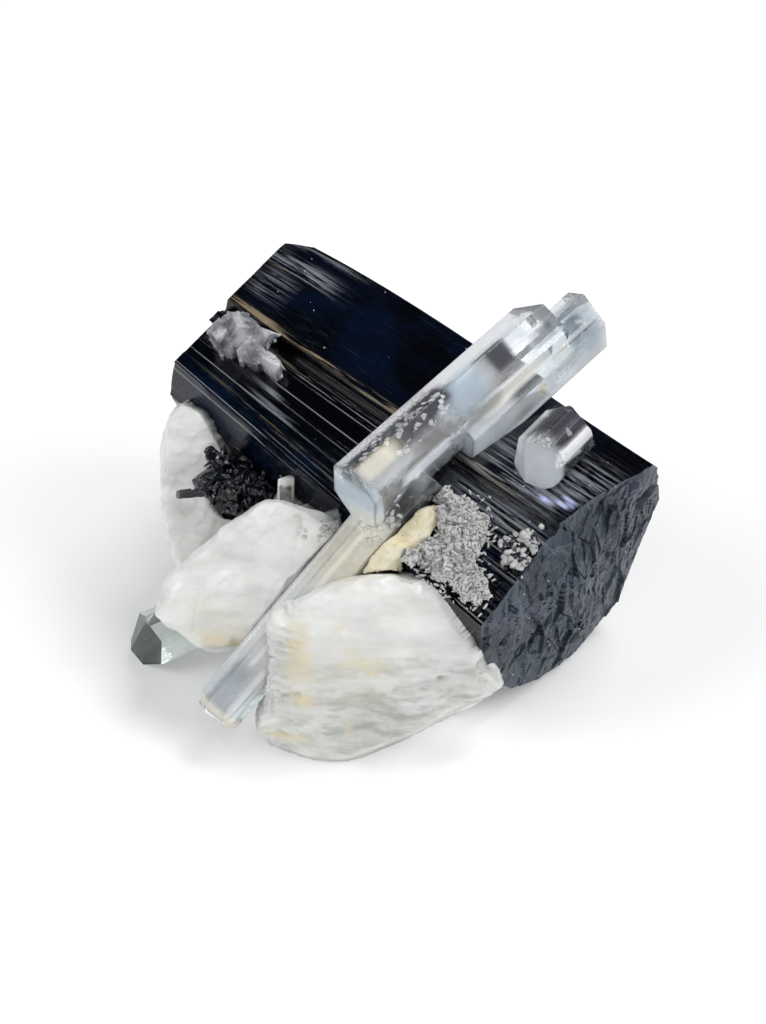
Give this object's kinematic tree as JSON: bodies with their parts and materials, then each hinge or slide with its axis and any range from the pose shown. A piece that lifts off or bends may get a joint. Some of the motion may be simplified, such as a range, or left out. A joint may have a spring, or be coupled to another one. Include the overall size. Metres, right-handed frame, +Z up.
{
  "type": "tourmaline mineral specimen",
  "caption": "Hand-sized mineral specimen: a thick black tourmaline prism on white feldspar, crossed by clear beryl prisms and dusted with a sugary albite crust.",
  "frame": {"origin": "middle of the footprint, on the plane the specimen rests on", "axes": "+Z up; +X to the right of the picture, towards the tourmaline's rough end; +Y to the back"},
  "size_m": [0.0554, 0.0518, 0.0361],
  "materials": {
    "tourmaline": "glassy black with a blue cast, striated along the prism",
    "beryl": "clear, colourless to very pale blue, with veils inside",
    "feldspar": "waxy white, slightly translucent, with yellow stains",
    "albite": "sugary, pale grey",
    "clay": "dull cream",
    "quartz": "frosted, pale grey"
  },
  "bodies": {
    "root": {"beryl_cluster": "beryl", "beryl_short": "beryl", "beryl_stub": "beryl", "tiny_beryl_left": "beryl", "tiny_beryl_right": "beryl", "frosted_quartz": "quartz", "tourmaline": "tourmaline", "tourmaline_spray": "tourmaline", "feldspar_matrix": "feldspar", "clay_smear": "clay", "albite_crust": "albite", "albite_patch": "albite"}
  },
  "joints": []
}
